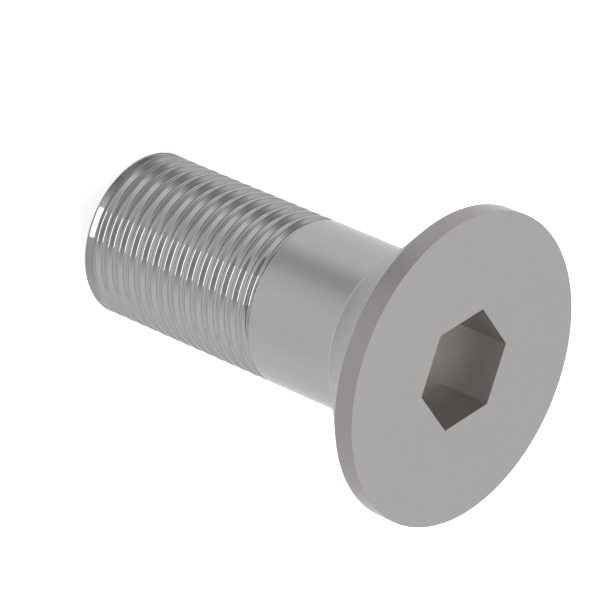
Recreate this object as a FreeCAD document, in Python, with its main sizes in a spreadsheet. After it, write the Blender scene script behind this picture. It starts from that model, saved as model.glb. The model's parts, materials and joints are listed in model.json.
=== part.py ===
import FreeCAD, Part
import math
import os

import Sketcher

# Countersunk socket screw, M16 fine thread, 40 mm long, one forged and turned piece.
# The screw is drawn about its own Z axis: the flat of the head lies at z = 0 and the
# shank runs down from it. It is then lifted by its length, so that it stands on the
# flat end of its thread, with the origin at the middle of that end.
# The threaded stretch is a plain cylinder at the thread's outer diameter.

SIZES = [
    # alias, value in millimetres or degrees, what it is
    ("head_diameter", "30", "diameter of the flat of the head"),
    ("rim_height", "2", "height of the straight rim round the head"),
    ("cone_angle", "90", "full angle of the countersunk cone, degrees"),
    ("neck_fillet", "0.6", "radius between the cone and the shank"),
    ("shank_diameter", "16", "diameter of the shank and outer diameter of the thread"),
    ("screw_length", "40", "overall length, from the flat of the head to the end"),
    ("end_break", "0.2", "broken edge at the end of the thread, at 45 degrees"),
    ("socket_across_flats", "10", "width of the hexagon socket across its flats"),
    ("socket_depth", "5.3", "depth of the hexagon socket"),
]

# How a sketch names the two ends of a line, the middle of a circle and its own axes
START, FINISH, MIDDLE = 1, 2, 3
ORIGIN = (-1, START)


def write_sizes(doc):
    """Puts every driving dimension in a spreadsheet cell with a name."""
    sheet = doc.addObject("Spreadsheet::Sheet", "Sizes")
    for row, (alias, value, meaning) in enumerate(SIZES, start=1):
        sheet.set(f"A{row}", meaning)
        sheet.set(f"B{row}", value)
        sheet.setAlias(f"B{row}", alias)
    doc.recompute()
    return sheet


def origin_plane(body, role):
    """Finds one of the body's own origin planes."""
    for feature in body.Origin.OriginFeatures:
        if feature.Role == role:
            return feature
    raise RuntimeError(f"{body.Label} has no origin plane {role}")


def new_sketch(body, name, role):
    """Starts a sketch on one of the body's origin planes."""
    sketch = body.newObject("Sketcher::SketchObject", name)
    sketch.AttachmentSupport = [(origin_plane(body, role), "")]
    sketch.MapMode = "FlatFace"
    return sketch


def dimension(sketch, name, expression, kind, *where_and_value):
    """Adds a named dimension to a sketch and ties it to the sizes."""
    index = sketch.addConstraint(Sketcher.Constraint(kind, *where_and_value))
    sketch.renameConstraint(index, name)
    sketch.setExpression(f"Constraints.{name}", expression)


def draw_profile(body, sheet):
    """Draws half the lengthwise section of the screw, beside its axis."""
    head_radius = sheet.head_diameter / 2
    shank_radius = sheet.shank_diameter / 2
    half_cone = math.radians(sheet.cone_angle / 2)
    cone_foot = -sheet.rim_height - (head_radius - shank_radius) / math.tan(half_cone)
    setback = sheet.neck_fillet * math.tan(half_cone / 2)

    def point(radius, height):
        return FreeCAD.Vector(radius, height, 0)

    face_centre = point(0, 0)
    rim_top = point(head_radius, 0)
    rim_foot = point(head_radius, -sheet.rim_height)
    fillet_top = point(
        shank_radius + setback * math.sin(half_cone),
        cone_foot + setback * math.cos(half_cone),
    )
    fillet_foot = point(shank_radius, cone_foot - setback)
    fillet_centre = point(shank_radius + sheet.neck_fillet, cone_foot - setback)
    shank_foot = point(shank_radius, sheet.end_break - sheet.screw_length)
    end_edge = point(shank_radius - sheet.end_break, -sheet.screw_length)
    end_centre = point(0, -sheet.screw_length)

    sketch = new_sketch(body, "Profile", "XZ_Plane")
    draw, rule = sketch.addGeometry, sketch.addConstraint
    face = draw(Part.LineSegment(face_centre, rim_top))
    rim = draw(Part.LineSegment(rim_top, rim_foot))
    cone = draw(Part.LineSegment(rim_foot, fillet_top))
    circle = Part.Circle(fillet_centre, FreeCAD.Vector(0, 0, 1), sheet.neck_fillet)
    fillet = draw(Part.ArcOfCircle(circle, math.pi - half_cone, math.pi))
    shank = draw(Part.LineSegment(fillet_foot, shank_foot))
    edge_break = draw(Part.LineSegment(shank_foot, end_edge))
    end = draw(Part.LineSegment(end_edge, end_centre))
    axis = draw(Part.LineSegment(end_centre, face_centre))

    rule(Sketcher.Constraint("Coincident", face, START, *ORIGIN))
    rule(Sketcher.Constraint("Tangent", cone, FINISH, fillet, START))
    rule(Sketcher.Constraint("Tangent", shank, START, fillet, FINISH))
    outline = [(face, rim), (rim, cone), (shank, edge_break), (edge_break, end)]
    for before, after in outline + [(end, axis), (axis, face)]:
        rule(Sketcher.Constraint("Coincident", before, FINISH, after, START))
    for line in (face, end):
        rule(Sketcher.Constraint("Horizontal", line))
    for line in (rim, shank, axis):
        rule(Sketcher.Constraint("Vertical", line))

    length, edge = sheet.screw_length, sheet.end_break
    across = (
        ("head_radius", "Sizes.head_diameter / 2", face, START, face, FINISH, head_radius),
        ("shank_radius", "Sizes.shank_diameter / 2", axis, START, shank, FINISH, shank_radius),
        ("edge_across", "Sizes.end_break", end, START, shank, FINISH, edge),
    )
    for name, expression, *where_and_value in across:
        dimension(sketch, name, expression, "DistanceX", *where_and_value)
    along = (
        ("rim", "Sizes.rim_height", rim, FINISH, rim, START, sheet.rim_height),
        ("length", "Sizes.screw_length", axis, START, axis, FINISH, length),
        ("edge_along", "Sizes.end_break", end, START, shank, FINISH, edge),
    )
    for name, expression, *where_and_value in along:
        dimension(sketch, name, expression, "DistanceY", *where_and_value)
    slope = "180 deg - Sizes.cone_angle / 2 * 1 deg"
    turn = (rim, FINISH, cone, START, math.pi - half_cone)
    dimension(sketch, "cone_slope", slope, "Angle", *turn)
    dimension(sketch, "fillet", "Sizes.neck_fillet", "Radius", fillet, sheet.neck_fillet)
    return sketch


def turn_blank(body, sheet):
    """Turns the profile round the axis: head, cone, neck, shank and thread stretch."""
    profile = draw_profile(body, sheet)
    blank = body.newObject("PartDesign::Revolution", "Blank")
    blank.Profile = profile
    blank.ReferenceAxis = (profile, ["V_Axis"])
    blank.Angle = 360
    return blank


def draw_hexagon(body, sheet):
    """Draws the hexagon of the socket on the flat of the head, a corner on +X."""
    corner_radius = sheet.socket_across_flats / math.sqrt(3)
    corners = []
    for step in range(6):
        angle = step * math.pi / 3
        corners.append(FreeCAD.Vector(math.cos(angle), math.sin(angle), 0) * corner_radius)

    sketch = new_sketch(body, "Hexagon", "XY_Plane")
    draw, rule = sketch.addGeometry, sketch.addConstraint
    sides = []
    for step in range(6):
        sides.append(draw(Part.LineSegment(corners[step], corners[(step + 1) % 6])))
    centre = FreeCAD.Vector(0, 0, 0)
    corner_circle = Part.Circle(centre, FreeCAD.Vector(0, 0, 1), corner_radius)
    corner_circle = draw(corner_circle, True)
    spoke = draw(Part.LineSegment(centre, corners[0]), True)

    rule(Sketcher.Constraint("Coincident", corner_circle, MIDDLE, *ORIGIN))
    rule(Sketcher.Constraint("Coincident", spoke, START, *ORIGIN))
    rule(Sketcher.Constraint("Coincident", spoke, FINISH, sides[0], START))
    rule(Sketcher.Constraint("Horizontal", spoke))
    for step, side in enumerate(sides):
        following = sides[(step + 1) % 6]
        rule(Sketcher.Constraint("Coincident", side, FINISH, following, START))
        rule(Sketcher.Constraint("PointOnObject", side, START, corner_circle))
    for side in sides[1:]:
        rule(Sketcher.Constraint("Equal", sides[0], side))
    half_width = "Sizes.socket_across_flats / 2"
    flat = (*ORIGIN, sides[0], sheet.socket_across_flats / 2)
    dimension(sketch, "half_across_flats", half_width, "Distance", *flat)
    return sketch


def cut_socket(body, sheet):
    """Cuts the flat-bottomed hexagon socket down into the head."""
    socket = body.newObject("PartDesign::Pocket", "Socket")
    socket.Profile = draw_hexagon(body, sheet)
    socket.Type = "Length"
    socket.setExpression("Length", "Sizes.socket_depth")
    return socket


def build_screw(doc, sheet):
    """Makes the whole screw as one body, standing on the end of its thread."""
    body = doc.addObject("PartDesign::Body", "CountersunkScrew")
    body.Label = "countersunk_screw"
    blank = turn_blank(body, sheet)
    doc.recompute()
    socket = cut_socket(body, sheet)
    body.setExpression("Placement.Base.z", "Sizes.screw_length")
    doc.recompute()

    hexagon_area = math.sqrt(3) / 2 * sheet.socket_across_flats ** 2
    removed = blank.Shape.Volume - socket.Shape.Volume
    if abs(removed - hexagon_area * sheet.socket_depth) > 0.001 * removed:
        raise RuntimeError(f"the socket removed {removed:.2f} cubic millimetres")
    return body


def check(doc, bodies):
    """Stops if any object of the document failed or any body is not a sound solid."""
    for item in doc.Objects:
        if "Invalid" in item.State or "Error" in item.State:
            raise RuntimeError(f"{item.Name} did not compute: {item.State}")
    for body in bodies:
        if body.Shape.isNull() or not body.Shape.isValid():
            raise RuntimeError(f"{body.Label} has no valid shape")


def write_parts(bodies):
    """Writes each body to a file that carries its name."""
    os.makedirs("parts", exist_ok=True)
    for body in bodies:
        body.Shape.exportStep(f"parts/{body.Label}.step")


def main():
    doc = FreeCAD.newDocument("CountersunkScrew")
    sheet = write_sizes(doc)
    bodies = [build_screw(doc, sheet)]
    check(doc, bodies)
    write_parts(bodies)
    for body in bodies:
        box = body.Shape.BoundBox
        print(body.Label, "volume", round(body.Shape.Volume, 2), "box", box)


main()
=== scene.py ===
import json
import math

import bpy
from mathutils import Matrix, Vector


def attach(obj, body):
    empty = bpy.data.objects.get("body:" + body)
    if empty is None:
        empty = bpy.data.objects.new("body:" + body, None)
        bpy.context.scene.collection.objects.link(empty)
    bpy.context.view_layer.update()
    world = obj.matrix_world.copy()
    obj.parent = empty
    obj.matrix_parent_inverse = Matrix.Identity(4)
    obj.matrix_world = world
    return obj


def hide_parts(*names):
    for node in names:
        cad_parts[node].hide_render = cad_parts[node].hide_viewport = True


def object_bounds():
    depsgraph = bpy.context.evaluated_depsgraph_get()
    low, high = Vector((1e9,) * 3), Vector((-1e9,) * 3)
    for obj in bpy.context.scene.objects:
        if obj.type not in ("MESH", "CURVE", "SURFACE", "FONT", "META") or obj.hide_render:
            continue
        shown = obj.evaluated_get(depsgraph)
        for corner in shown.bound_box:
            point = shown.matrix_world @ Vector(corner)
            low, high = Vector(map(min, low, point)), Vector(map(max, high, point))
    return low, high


bl_info = {
    "name": "Countersunk screw",
    "version": (1, 0, 0),
    "blender": (4, 5, 0),
    "location": "View3D > Sidebar > Screw",
    "description": "Models a countersunk socket screw with a rolled thread, and its studio",
    "category": "Object",
}

# The screw stands on the end of its thread, its axis on Z, its head up. All in metres.
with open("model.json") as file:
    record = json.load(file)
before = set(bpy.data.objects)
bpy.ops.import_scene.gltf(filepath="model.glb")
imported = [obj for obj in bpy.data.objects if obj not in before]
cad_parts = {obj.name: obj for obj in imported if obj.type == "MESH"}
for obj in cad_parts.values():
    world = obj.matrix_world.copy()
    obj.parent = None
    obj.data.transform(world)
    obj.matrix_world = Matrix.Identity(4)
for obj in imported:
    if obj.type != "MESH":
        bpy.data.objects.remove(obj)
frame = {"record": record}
CAD_LOW, CAD_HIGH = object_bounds()
MOUNTS = {mount["name"]: mount for mount in frame["record"]["mounts"]}
MM = 0.001
CLOSE = 1e-6  # points nearer to each other than this are one point


def length_size(name, description, default):
    """A length that the sidebar shows in the scene's own unit."""
    return bpy.props.FloatProperty(
        name=name, description=description, default=default, min=0.0, precision=5,
        unit="LENGTH", subtype="DISTANCE",
    )


def angle_size(name, description, degrees):
    """An angle that the sidebar shows in degrees."""
    return bpy.props.FloatProperty(
        name=name, description=description, default=math.radians(degrees),
        unit="ROTATION", subtype="ANGLE",
    )


def count_size(name, description, default):
    """A whole number."""
    return bpy.props.IntProperty(name=name, description=description, default=default, min=1)


def share_size(name, description, default):
    """A number from 0 to 1."""
    return bpy.props.FloatProperty(
        name=name, description=description, default=default, min=0.0, max=1.0,
        subtype="FACTOR",
    )


def colour_size(name, description, default):
    """A colour."""
    return bpy.props.FloatVectorProperty(
        name=name, description=description, default=default, min=0.0, max=1.0, size=3,
        subtype="COLOR",
    )


class ScrewSizes(bpy.types.PropertyGroup):
    """Sizes of the screw."""

    head_diameter: length_size(
        "Head diameter", "Diameter of the flat of the head", CAD_HIGH[0] - CAD_LOW[0])
    screw_length: length_size(
        "Length", "Overall length, head and all", CAD_HIGH[2] - CAD_LOW[2])
    shank_diameter: length_size(
        "Shank diameter", "Diameter of the shank and of the thread's crests",
        2 * MOUNTS["shank"]["dims"]["r_mm"] * MM)
    rim_height: length_size("Rim height", "Straight rim round the head", 2.0 * MM)
    cone_angle: angle_size("Cone angle", "Full angle of the countersunk cone", 90)
    neck_fillet: length_size("Neck radius", "Radius between cone and shank", 0.6 * MM)
    end_break: length_size("End break", "Broken edge at the end of the thread", 0.08 * MM)
    edge_break: length_size("Edge break", "Rounding of the head's edges", 0.05 * MM)
    socket_width: length_size("Socket width", "Across the flats of the socket", 10.0 * MM)
    socket_depth: length_size("Socket depth", "Depth of the socket", 5.3 * MM)
    around: count_size("Steps around", "Divisions of a full circle, a multiple of 6", 144)
    neck_steps: count_size("Neck steps", "Divisions of the neck's rounding", 6)
    edge_steps: count_size("Edge steps", "Divisions of the rounding of the head's edges", 2)
    smooth_angle: angle_size("Smooth angle", "Edges flatter than this are shaded smooth", 32)


class ThreadSizes(bpy.types.PropertyGroup):
    """Sizes of the rolled thread."""

    length: length_size(
        "Thread length", "Threaded stretch, from the end",
        MOUNTS["thread"]["dims"]["length_mm"] * MM)
    pitch: length_size("Pitch", "Rise of the thread in one turn", 1.435 * MM)
    flank_angle: angle_size("Flank angle", "Between two flanks of the groove", 70)
    crest_radius: length_size("Crest radius", "Rounding of a ridge", 0.23 * MM)
    root_radius: length_size("Root radius", "Rounding of a groove's two corners", 0.27 * MM)
    root_flat: length_size("Root flat", "Flat at the foot of a groove", 0.20 * MM)
    start: angle_size("Start", "Turn round the axis at which the thread starts", -26)
    run_out: length_size("Run-out", "Height over which the groove fades out", 0.5 * MM)
    end_land: length_size("End land", "Plain stretch between the end and the groove", 0.06 * MM)
    end_slope: angle_size("End slope", "Slope at which the groove begins at the end", 35)
    end_rounding: length_size("End rounding", "Rounding of where the groove begins", 0.04 * MM)
    end_blend: length_size("End blend", "Rounding of where its start meets the groove", 0.20 * MM)
    arc_steps: count_size("Arc steps", "Divisions of a rounding", 6)
    flank_steps: count_size("Flank steps", "Divisions of a flank", 4)


class Finishes(bpy.types.PropertyGroup):
    """Colours and polish of the steel, with darker and brighter copies of its colour that paint
    shade and light.
    """

    head_colour: colour_size("Head colour", "Steel of the flat of the head", (0.434, 0.424, 0.414))
    head_roughness: share_size("Head roughness", "Satin of the flat of the head", 0.38)
    socket_colour: colour_size("Socket colour", "Steel of the socket", (0.422, 0.404, 0.388))
    # Painted light: how much brighter the socket's steel is painted at its bottom than at its
    # mouth.
    socket_painted_light_tone: bpy.props.FloatProperty(
        name="Bottom tone", description="How much brighter the bottom is than the mouth",
        default=1.22, min=0.0)
    socket_roughness: share_size("Socket roughness", "Satin of the socket", 0.60)
    # Painted shade: the rim's steel is a darker, slightly brownish copy of the shank's steel.
    rim_colour_painted_shade: colour_size("Rim colour", "Steel of the straight rim", (0.30, 0.286, 0.281))
    rim_roughness: share_size("Rim roughness", "Satin of the rim", 0.21)
    # Painted light: the cone's steel, down to the middle of the neck's rounding, is a brighter
    # copy of the shank's steel.
    cone_colour_painted_light: colour_size("Cone colour", "Steel of the cone", (0.51, 0.51, 0.51))
    cone_roughness: share_size("Cone roughness", "Satin of the cone", 0.60)
    shank_colour: colour_size("Shank colour", "Steel of shank and thread", (0.39, 0.39, 0.39))
    shank_roughness: share_size("Shank roughness", "Polish of the shank", 0.11)
    thread_roughness: share_size("Thread roughness", "Polish of the rolled thread", 0.075)


class StageSizes(bpy.types.PropertyGroup):
    """The floor, the light and the place of the camera."""

    floor_width: length_size("Floor width", "Side of the square floor", 1.0)
    floor_colour: colour_size("Floor colour", "Colour of the floor", (0.80, 0.80, 0.80))
    camera_distance: length_size("Camera distance", "From the middle of the screw", 453.6 * MM)
    camera_turn: angle_size("Camera turn", "Round the screw, from the front", -10.07)
    camera_rise: angle_size("Camera rise", "Above level", 36.98)
    camera_roll: angle_size("Camera roll", "About the line of sight", 113.17)
    camera_view: angle_size("Camera view", "Angle that the picture covers", 6.962)


# Working in edit mode

def deselect_all():
    """Leaves every object unselected, so an operator acts on the new one alone."""
    if bpy.context.object and bpy.context.object.mode != "OBJECT":
        bpy.ops.object.mode_set(mode="OBJECT")
    bpy.ops.object.select_all(action="DESELECT")


def select_edges(piece, wanted):
    """Selects the edges whose two ends the test accepts."""
    bpy.ops.object.mode_set(mode="EDIT")
    bpy.ops.mesh.select_mode(type="EDGE")
    bpy.ops.mesh.select_all(action="DESELECT")
    bpy.ops.object.mode_set(mode="OBJECT")
    points = piece.data.vertices
    for edge in piece.data.edges:
        edge.select = all(wanted(points[end].co) for end in edge.vertices)
    bpy.ops.object.mode_set(mode="EDIT")


def ring_at(radius, height):
    """A test that accepts the points of one level ring round the axis."""
    def wanted(point):
        out = math.hypot(point.x, point.y) - radius
        return abs(out) < CLOSE and abs(point.z - height) < CLOSE
    return wanted


def extrude_ring(rise, scale):
    """Extrudes the selected ring straight up or down, and widens or narrows its copy."""
    bpy.ops.mesh.extrude_region_move(TRANSFORM_OT_translate={"value": (0, 0, rise)})
    bpy.ops.transform.resize(value=(scale, scale, 1))


def add_ring(name, radius, height, around):
    """Adds a bare ring of edges round the axis and stays in edit mode, all selected."""
    deselect_all()
    bpy.ops.mesh.primitive_circle_add(vertices=around, radius=radius, location=(0, 0, height))
    piece = bpy.context.object
    piece.name = name
    bpy.ops.object.transform_apply(location=True, rotation=True, scale=True)
    bpy.ops.object.mode_set(mode="EDIT")
    bpy.ops.mesh.select_all(action="SELECT")
    return piece


def apply_modifiers(piece):
    """Applies every modifier of a piece, from the first to the last."""
    bpy.context.view_layer.objects.active = piece
    for modifier in list(piece.modifiers):
        bpy.ops.object.modifier_apply(modifier=modifier.name)


# The blank: shank, neck, cone, rim and flat of the head

def head_heights(sizes):
    """Heights of the foot of the rim and of the foot of the cone."""
    overhang = (sizes.head_diameter - sizes.shank_diameter) / 2
    rim_foot = sizes.screw_length - sizes.rim_height
    return rim_foot, rim_foot - overhang / math.tan(sizes.cone_angle / 2)


def turn_blank(sizes, thread_top):
    """Turns the outside of the screw, from the top of the thread to the flat of the head."""
    head, shank = sizes.head_diameter / 2, sizes.shank_diameter / 2
    rim_foot, cone_foot = head_heights(sizes)
    blank = add_ring("blank", shank, thread_top, sizes.around)
    extrude_ring(cone_foot - thread_top, 1)
    extrude_ring(rim_foot - cone_foot, head / shank)
    extrude_ring(sizes.rim_height, 1)

    select_edges(blank, ring_at(shank, cone_foot))
    setback = sizes.neck_fillet * math.tan(sizes.cone_angle / 4)
    bpy.ops.mesh.bevel(offset=setback, segments=sizes.neck_steps, profile=0.5)
    bpy.ops.object.mode_set(mode="OBJECT")
    return blank


def cut_socket(blank, sizes):
    """Closes the flat of the head round the hexagon socket, a corner of it on +X."""
    head, corner = sizes.head_diameter / 2, sizes.socket_width / math.sqrt(3)
    top = sizes.screw_length
    select_edges(blank, ring_at(head, top))
    extrude_ring(0, corner / head)
    bpy.ops.object.mode_set(mode="OBJECT")

    sixth = math.radians(60)
    on_mouth = ring_at(corner, top)
    mouth = [vertex for vertex in blank.data.vertices if on_mouth(vertex.co)]
    for vertex in mouth:
        turn = math.atan2(vertex.co.y, vertex.co.x) % sixth - sixth / 2
        vertex.co.xy *= sizes.socket_width / 2 / math.cos(turn) / corner
    bpy.ops.object.mode_set(mode="EDIT")
    bpy.ops.mesh.extrude_region_move(
        TRANSFORM_OT_translate={"value": (0, 0, -sizes.socket_depth)})
    bpy.ops.mesh.edge_face_add()

    for height in (top, top - sizes.rim_height):
        select_edges(blank, ring_at(head, height))
        bpy.ops.mesh.bevel(
            offset=sizes.edge_break, segments=sizes.edge_steps, profile=0.5)
    bpy.ops.object.mode_set(mode="OBJECT")


# The thread

def groove_outline(thread, shank):
    """Points of one turn of the thread, from root to root, as radius and height."""
    half_angle = thread.flank_angle / 2
    tilt = math.pi / 2 - half_angle
    crest, root = thread.crest_radius, thread.root_radius
    flank = (thread.pitch - thread.root_flat) / 2 - (crest + root) * math.sin(tilt)
    if flank < 0:
        raise RuntimeError("the thread's roundings don't fit in its pitch")
    depth = (crest + root) * (1 - math.cos(tilt)) + flank / math.tan(half_angle)
    angles = [tilt * step / thread.arc_steps for step in range(thread.arc_steps + 1)]
    half = []
    for angle in angles:
        half.append((shank - crest * (1 - math.cos(angle)), crest * math.sin(angle)))
    foot = shank - depth
    valley = []
    for angle in reversed(angles):
        along = (thread.pitch - thread.root_flat) / 2 - root * math.sin(angle)
        valley.append((foot + root * (1 - math.cos(angle)), along))
    top, base = Vector(half[-1]), Vector(valley[0])
    for step in range(1, thread.flank_steps):
        half.append(tuple(top.lerp(base, step / thread.flank_steps)))
    half += valley
    half.append((foot, thread.pitch / 2))
    below = [(radius, -height) for radius, height in reversed(half[1:])]
    return below + half


def draw_outline(name, outline):
    """Draws an open line through the points by pulling one point along."""
    radius, height = outline[0]
    line = add_ring(name, radius, height, around=3)
    bpy.ops.mesh.select_mode(type="VERT")
    bpy.ops.mesh.merge(type="CENTER")
    bpy.ops.transform.translate(value=(radius, 0, 0))
    for before, after in zip(outline, outline[1:]):
        step = (after[0] - before[0], 0, after[1] - before[1])
        bpy.ops.mesh.extrude_region_move(TRANSFORM_OT_translate={"value": step})
    bpy.ops.object.mode_set(mode="OBJECT")
    return line


def soft_ramp(height, slope, rounding):
    """A depth that grows from nothing at zero height and bends softly into a slope."""
    return math.tan(slope) * (height + math.hypot(height, rounding)) / 2


def soft_minimum(first, second, rounding):
    """The smaller of two depths, rounded where they cross."""
    overlap = max(rounding - abs(first - second), 0) / rounding
    return min(first, second) - overlap ** 2 * rounding / 4


def roll_thread(sizes, thread):
    """Winds the groove round the shank, fades it at both ends and closes the end."""
    shank = sizes.shank_diameter / 2
    spare_turns = 2
    piece = draw_outline("thread", groove_outline(thread, shank))
    winding = piece.modifiers.new("Winding", "SCREW")
    winding.axis = "Z"
    winding.steps = sizes.around
    winding.render_steps = sizes.around
    winding.screw_offset = thread.pitch
    winding.iterations = math.ceil(thread.length / thread.pitch) + spare_turns
    apply_modifiers(piece)

    low, high = sizes.end_break, thread.length
    groove_end = low + thread.end_land
    slope, rounding = thread.end_slope, thread.end_rounding
    at_end = soft_ramp(-thread.end_land, slope, rounding)
    for vertex in piece.data.vertices:
        point = vertex.co
        point.z -= thread.pitch * (1 + thread.start / math.tau)
        up = min(max((high - point.z) / thread.run_out, 0), 1)
        begun = soft_ramp(point.z - groove_end, slope, rounding) - at_end
        radius = math.hypot(point.x, point.y)
        depth = max(soft_minimum((shank - radius) * up, begun, thread.end_blend), 0)
        point.xy *= (shank - depth) / radius
        point.z = min(max(point.z, low), high)

    bpy.ops.object.mode_set(mode="EDIT")
    bpy.ops.mesh.select_all(action="SELECT")
    bpy.ops.mesh.remove_doubles(threshold=CLOSE)
    select_edges(piece, ring_at(shank, low))
    extrude_ring(-sizes.end_break, 1 - sizes.end_break / shank)
    bpy.ops.mesh.edge_face_add()
    bpy.ops.object.mode_set(mode="OBJECT")
    return piece


def join_pieces(name, pieces):
    """Joins pieces into one closed mesh, merging the points they share."""
    deselect_all()
    for piece in pieces:
        piece.select_set(True)
    bpy.context.view_layer.objects.active = pieces[0]
    bpy.ops.object.join()
    joined = bpy.context.object
    joined.name = name
    joined.data.name = name
    bpy.ops.object.mode_set(mode="EDIT")
    bpy.ops.mesh.select_all(action="SELECT")
    bpy.ops.mesh.remove_doubles(threshold=CLOSE)
    return joined


# The steel

EDGE_TINT = 0.88  # brightness of steel that is seen edge-on
MOTTLE = 0.015  # share by which its colour varies from place to place
POLISH_CHANGE = 0.06  # share by which its roughness varies
CLOUD_SCALE = 220.0  # size of the colour's noise, in cells a metre
GRAIN_SCALE = 900.0  # size of the roughness's noise
NOISE_LOW, NOISE_HIGH = 0.3, 0.7  # where most of a noise texture's values lie


def new_material(name):
    """Starts a material and returns it with its nodes, links and shader."""
    material = bpy.data.materials.new(name)
    material.use_nodes = True
    tree = material.node_tree
    return material, tree, tree.nodes["Principled BSDF"]


def add_noise(tree, scale):
    """Adds a noise texture that reads the piece's own place, in metres."""
    place = tree.nodes.new("ShaderNodeTexCoord")
    noise = tree.nodes.new("ShaderNodeTexNoise")
    noise.inputs["Scale"].default_value = scale
    noise.inputs["Detail"].default_value = 3.0
    tree.links.new(place.outputs["Object"], noise.inputs["Vector"])
    return noise.outputs["Fac"]


def add_range(tree, source, low, high):
    """Maps the values of a noise texture onto a range."""
    spread = tree.nodes.new("ShaderNodeMapRange")
    spread.inputs["From Min"].default_value = NOISE_LOW
    spread.inputs["From Max"].default_value = NOISE_HIGH
    spread.inputs["To Min"].default_value = low
    spread.inputs["To Max"].default_value = high
    tree.links.new(source, spread.inputs["Value"])
    return spread.outputs["Result"]


def steel(name, colour, roughness):
    """Bare steel whose tint and polish vary a little from place to place."""
    material, tree, shader = new_material(name)
    shader.inputs["Metallic"].default_value = 1.0
    shader.inputs["Specular Tint"].default_value = (EDGE_TINT, EDGE_TINT, EDGE_TINT, 1)
    cloud = add_noise(tree, CLOUD_SCALE)
    mix = tree.nodes.new("ShaderNodeMix")
    mix.data_type = "RGBA"
    mix.inputs["A"].default_value = (*[channel * (1 - MOTTLE) for channel in colour], 1)
    mix.inputs["B"].default_value = (*[channel * (1 + MOTTLE) for channel in colour], 1)
    tree.links.new(cloud, mix.inputs["Factor"])
    tree.links.new(mix.outputs["Result"], shader.inputs["Base Color"])
    grain = add_noise(tree, GRAIN_SCALE)
    smoothest, roughest = roughness * (1 - POLISH_CHANGE), roughness * (1 + POLISH_CHANGE)
    polish = add_range(tree, grain, smoothest, roughest)
    tree.links.new(polish, shader.inputs["Roughness"])
    return material


def paint_light_below(material, low, high, tone):
    """Brightens a steel from a height down, to a tone at the lowest place. This is painted light:
    it stands in for the socket's reflections, which are darker at the mouth.
    """
    tree = material.node_tree
    base = tree.nodes["Principled BSDF"].inputs["Base Color"]
    plain = base.links[0].from_socket
    place = tree.nodes.new("ShaderNodeTexCoord")
    height = tree.nodes.new("ShaderNodeSeparateXYZ")
    tree.links.new(place.outputs["Object"], height.inputs["Vector"])
    depth = tree.nodes.new("ShaderNodeMapRange")
    depth.inputs["From Min"].default_value = high
    depth.inputs["From Max"].default_value = low
    depth.inputs["To Min"].default_value = 1.0
    depth.inputs["To Max"].default_value = tone
    tree.links.new(height.outputs["Z"], depth.inputs["Value"])
    scaled = tree.nodes.new("ShaderNodeVectorMath")
    scaled.operation = "SCALE"
    tree.links.new(plain, scaled.inputs[0])
    tree.links.new(depth.outputs["Result"], scaled.inputs["Scale"])
    tree.links.new(scaled.outputs["Vector"], base)


def paint_piece(piece, materials, choose):
    """Gives each face of a piece the material that the chooser names."""
    piece.data.materials.clear()
    for material in materials:
        piece.data.materials.append(material)
    for face in piece.data.polygons:
        face.material_index = choose(face)


def finish_screw(screw, sizes, thread, finishes):
    """Gives each part of the screw the steel it shows. The rim's steel is a darker copy that
    paints shade, the cone's a brighter copy that paints light, and the socket's steel paints light
    brighter toward its bottom.
    """
    bright, satin, rim, cone, socket, threaded = range(6)
    rim_foot, cone_foot = head_heights(sizes)
    rim_foot -= sizes.edge_break
    # The cone's brighter steel, which paints light, reaches down to the middle of the neck's
    # rounding.
    neck = cone_foot - sizes.edge_break - sizes.neck_fillet / 2
    mouth = sizes.socket_width / math.sqrt(3)
    flat = sizes.screw_length - sizes.edge_break / 2
    bottom = sizes.screw_length - sizes.socket_depth
    painted_light_top = bottom + sizes.socket_depth / 2

    def choose(face):
        place = face.center
        radius = math.hypot(place.x, place.y)
        if place.z > flat:
            return satin
        if place.z > neck and radius < mouth:
            return socket
        if place.z > rim_foot:
            return rim
        if place.z > neck:
            return cone
        return bright if place.z > thread.length else threaded

    steels = [
        steel("bright_steel", finishes.shank_colour, finishes.shank_roughness),
        steel("satin_steel", finishes.head_colour, finishes.head_roughness),
        # Painted shade: a darker copy of the steel on the rim.
        steel("rim_steel_painted_shade", finishes.rim_colour_painted_shade, finishes.rim_roughness),
        # Painted light: a brighter copy of the steel on the cone and the neck's rounding.
        steel("cone_steel_painted_light", finishes.cone_colour_painted_light, finishes.cone_roughness),
        steel("socket_steel_and_painted_light", finishes.socket_colour, finishes.socket_roughness),
        steel("thread_steel", finishes.shank_colour, finishes.thread_roughness),
    ]
    # Painted light: the socket's steel brightens toward its bottom, standing in for its
    # reflections.
    paint_light_below(steels[socket], bottom, painted_light_top, finishes.socket_painted_light_tone)
    paint_piece(screw, steels, choose)


class SCREW_OT_model(bpy.types.Operator):
    """Model the screw: head, socket, neck, shank and thread in one closed piece"""

    bl_idname = "screw.model"
    bl_label = "Model the screw"

    def execute(self, context):
        sizes = context.scene.screw_sizes
        thread = context.scene.thread_sizes
        finishes = context.scene.screw_finishes
        blank = turn_blank(sizes, thread.length)
        cut_socket(blank, sizes)
        screw = join_pieces("screw", [blank, roll_thread(sizes, thread)])
        bpy.ops.mesh.normals_make_consistent(inside=False)
        bpy.ops.object.mode_set(mode="OBJECT")
        bpy.ops.object.shade_smooth_by_angle(angle=sizes.smooth_angle)
        levelling = screw.modifiers.new("Level flats", "WEIGHTED_NORMAL")
        levelling.keep_sharp = True
        apply_modifiers(screw)

        finish_screw(screw, sizes, thread, finishes)
        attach(screw, "root")
        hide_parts("countersunk_screw")
        return {"FINISHED"}


# The studio
# Turns go round the screw from the front and rises are above level, both in degrees.

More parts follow.
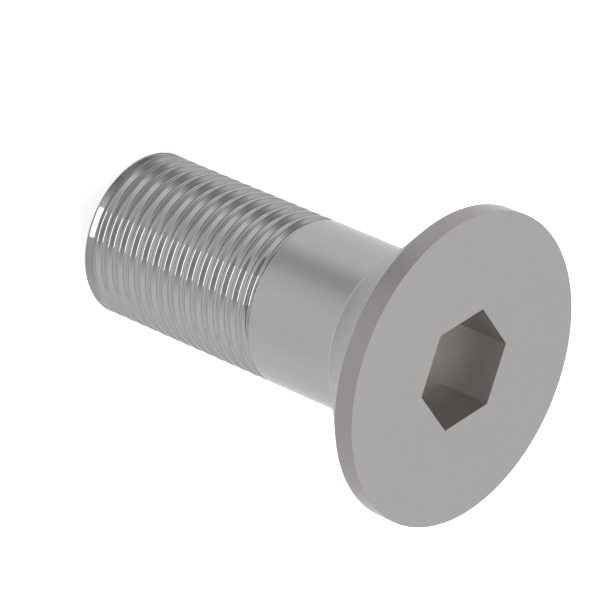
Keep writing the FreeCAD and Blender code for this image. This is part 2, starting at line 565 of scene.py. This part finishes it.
# Name, turn, rise, distance, width and height in metres, watts, seen in the metal or not
LAMPS = (
    ("front_lamp", 1.0, 33, 0.6, 0.38, 0.16, 0.74, True),
    ("back_lamp", 128, 35, 0.8, 0.22, 0.24, 4.9, False),
    ("wide_lamp", 148, 36, 0.8, 0.30, 0.20, 1.6, False),
    ("side_lamp", -140, 35, 0.15, 0.05, 0.05, 0.045, False),
)

# Patches of the room as the metal sees it: turn, rise, spread, tone, softness
PATCHES = (
    (20, 71, 26, 0.50, 2.2),
    (-117, 42, 18, 0.42, 1.6),
    (-58, 12, 32, 0.28, 1.0),
    (-103, 16, 30, 0.32, 1.2),
    (-92, 58, 13, 1.18, 1.0),
    (-55, 76, 32, 0.70, 1.0),
    (38, 8, 45, 0.74, 1.0),
)

WHITE = 1.0  # strength of the room as the camera sees it
ROOM_LIGHT = 0.36  # strength of the light that the room gives
LOW_RISE, LOW_TONE = 12, 0.82  # up to this rise the metal sees the room in this tone
HIGH_RISE, HIGH_TONE = 50, 1.04  # and above this rise in this one
FLOOR_GLOW = 0.61  # lifts the lit floor to white for the camera
FLOOR_GLOW_IN_METAL = 0.12


def aim(thing, target, roll=0.0):
    """Points a lamp or camera at a place, turned about its line of sight."""
    back = (thing.location - target).normalized()
    right = Vector((0, 0, 1)).cross(back).normalized()
    up = back.cross(right)
    turned = Matrix((right, up, back)).transposed() @ Matrix.Rotation(roll, 3, "Z")
    thing.rotation_euler = turned.to_euler()


def around_axis(turn, rise, distance, centre):
    """A place seen from the centre at a turn from the front, a rise and a distance."""
    level = math.cos(rise)
    return centre + distance * Vector(
        (math.sin(turn) * level, -math.cos(turn) * level, math.sin(rise)))


def add_lamp(centre, name, turn, rise, distance, width, height, power, in_metal):
    """Adds a softbox that faces the screw."""
    deselect_all()
    place = around_axis(math.radians(turn), math.radians(rise), distance, centre)
    bpy.ops.object.light_add(type="AREA", location=place)
    lamp = bpy.context.object
    lamp.name = name
    lamp.data.shape = "RECTANGLE"
    lamp.data.size = width
    lamp.data.size_y = height
    lamp.data.energy = power
    lamp.visible_glossy = in_metal
    aim(lamp, centre)


def add_ray_switch(tree, to_camera, to_metal, otherwise):
    """A value that the camera, the reflections and all other rays see differently."""
    rays = tree.nodes.new("ShaderNodeLightPath")
    value = otherwise
    for ray, shown in (("Is Glossy Ray", to_metal), ("Is Camera Ray", to_camera)):
        mix = tree.nodes.new("ShaderNodeMix")
        tree.links.new(rays.outputs[ray], mix.inputs["Factor"])
        for socket, source in (("A", value), ("B", shown)):
            if isinstance(source, bpy.types.NodeSocket):
                tree.links.new(source, mix.inputs[socket])
            else:
                mix.inputs[socket].default_value = source
        value = mix.outputs["Result"]
    return value


def lay_floor(stage):
    """Lays a plain pale floor that looks white where no shadow falls."""
    deselect_all()
    bpy.ops.mesh.primitive_plane_add(size=stage.floor_width, location=(0, 0, 0))
    floor = bpy.context.object
    floor.name = "floor"
    material, tree, shader = new_material("floor")
    shader.inputs["Base Color"].default_value = (*stage.floor_colour, 1)
    shader.inputs["Roughness"].default_value = 0.9
    shader.inputs["Specular IOR Level"].default_value = 0.0
    glow = add_ray_switch(tree, FLOOR_GLOW, FLOOR_GLOW_IN_METAL, 0.0)
    shader.inputs["Emission Color"].default_value = (1, 1, 1, 1)
    tree.links.new(glow, shader.inputs["Emission Strength"])
    floor.data.materials.append(material)


def add_patch(tree, place, turn, rise, spread, tone, softness):
    """A value that goes from 1 to a tone towards one direction of the room."""
    centre = around_axis(math.radians(turn), math.radians(rise), 1, Vector((0, 0, 0)))
    toward = tree.nodes.new("ShaderNodeVectorMath")
    toward.operation = "DOT_PRODUCT"
    toward.inputs[1].default_value = centre
    tree.links.new(place.outputs["Generated"], toward.inputs[0])
    nearness = tree.nodes.new("ShaderNodeMapRange")
    nearness.inputs["From Min"].default_value = math.cos(math.radians(spread))
    tree.links.new(toward.outputs["Value"], nearness.inputs["Value"])
    soft = tree.nodes.new("ShaderNodeMath")
    soft.operation = "POWER"
    soft.inputs[1].default_value = softness
    tree.links.new(nearness.outputs["Result"], soft.inputs[0])
    patch = tree.nodes.new("ShaderNodeMapRange")
    patch.inputs["To Min"].default_value = 1.0
    patch.inputs["To Max"].default_value = tone
    tree.links.new(soft.outputs["Value"], patch.inputs["Value"])
    return patch.outputs["Result"]


def light_world():
    """Fills the room with even light, white to the camera, with soft patches in the metal."""
    world = bpy.data.worlds.new("studio")
    bpy.context.scene.world = world
    world.use_nodes = True
    tree = world.node_tree
    background = tree.nodes["Background"]
    background.inputs["Color"].default_value = (1, 1, 1, 1)
    place = tree.nodes.new("ShaderNodeTexCoord")
    height = tree.nodes.new("ShaderNodeSeparateXYZ")
    tree.links.new(place.outputs["Generated"], height.inputs["Vector"])
    horizon = tree.nodes.new("ShaderNodeMapRange")
    horizon.inputs["From Min"].default_value = math.sin(math.radians(LOW_RISE))
    horizon.inputs["From Max"].default_value = math.sin(math.radians(HIGH_RISE))
    horizon.inputs["To Min"].default_value = LOW_TONE
    horizon.inputs["To Max"].default_value = HIGH_TONE
    tree.links.new(height.outputs["Z"], horizon.inputs["Value"])
    level = horizon.outputs["Result"]
    for patch in PATCHES:
        shade = add_patch(tree, place, *patch)
        both = tree.nodes.new("ShaderNodeMath")
        both.operation = "MULTIPLY"
        tree.links.new(level, both.inputs[0])
        tree.links.new(shade, both.inputs[1])
        level = both.outputs["Value"]
    level = add_ray_switch(tree, WHITE, level, ROOM_LIGHT)
    tree.links.new(level, background.inputs["Strength"])


def place_camera(stage, centre):
    """Places the camera at the photograph's angle, turned as the picture is."""
    place = around_axis(stage.camera_turn, stage.camera_rise, stage.camera_distance, centre)
    bpy.ops.object.camera_add(location=place)
    camera = bpy.context.object
    camera.name = "camera"
    camera.data.sensor_fit = "HORIZONTAL"
    camera.data.lens_unit = "FOV"
    camera.data.angle = stage.camera_view
    camera.data.clip_start = 0.01
    aim(camera, centre, stage.camera_roll)
    bpy.context.scene.camera = camera


class SCREW_OT_stage(bpy.types.Operator):
    """Set up the plain floor, the soft light and the camera"""

    bl_idname = "screw.stage"
    bl_label = "Set the stage"

    def execute(self, context):
        scene = context.scene
        stage = scene.stage_sizes
        scene.view_settings.view_transform = "Standard"
        centre = Vector((0, 0, scene.screw_sizes.screw_length / 2))
        lay_floor(stage)
        light_world()
        for lamp in LAMPS:
            add_lamp(centre, *lamp)
        place_camera(stage, centre)
        return {"FINISHED"}


class SCREW_PT_sidebar(bpy.types.Panel):
    """Sizes and steps of the countersunk screw"""

    bl_idname = "SCREW_PT_sidebar"
    bl_label = "Countersunk screw"
    bl_space_type = "VIEW_3D"
    bl_region_type = "UI"
    bl_category = "Screw"

    def draw(self, context):
        layout = self.layout
        scene = context.scene
        for group in (scene.screw_sizes, scene.thread_sizes, scene.screw_finishes,
                      scene.stage_sizes):
            box = layout.box()
            for name in group.__annotations__:
                box.prop(group, name)
        layout.operator(SCREW_OT_model.bl_idname)
        layout.operator(SCREW_OT_stage.bl_idname)


CLASSES = (
    ScrewSizes, ThreadSizes, Finishes, StageSizes,
    SCREW_OT_model, SCREW_OT_stage, SCREW_PT_sidebar,
)


def register():
    for each in CLASSES:
        bpy.utils.register_class(each)
    scene_type = bpy.types.Scene
    scene_type.screw_sizes = bpy.props.PointerProperty(type=ScrewSizes)
    scene_type.thread_sizes = bpy.props.PointerProperty(type=ThreadSizes)
    scene_type.screw_finishes = bpy.props.PointerProperty(type=Finishes)
    scene_type.stage_sizes = bpy.props.PointerProperty(type=StageSizes)


def unregister():
    scene_type = bpy.types.Scene
    del scene_type.stage_sizes
    del scene_type.screw_finishes
    del scene_type.thread_sizes
    del scene_type.screw_sizes
    for each in reversed(CLASSES):
        bpy.utils.unregister_class(each)


def main():
    register()
    bpy.ops.screw.model()
    bpy.ops.screw.stage()


if __name__ == "__main__":
    main()
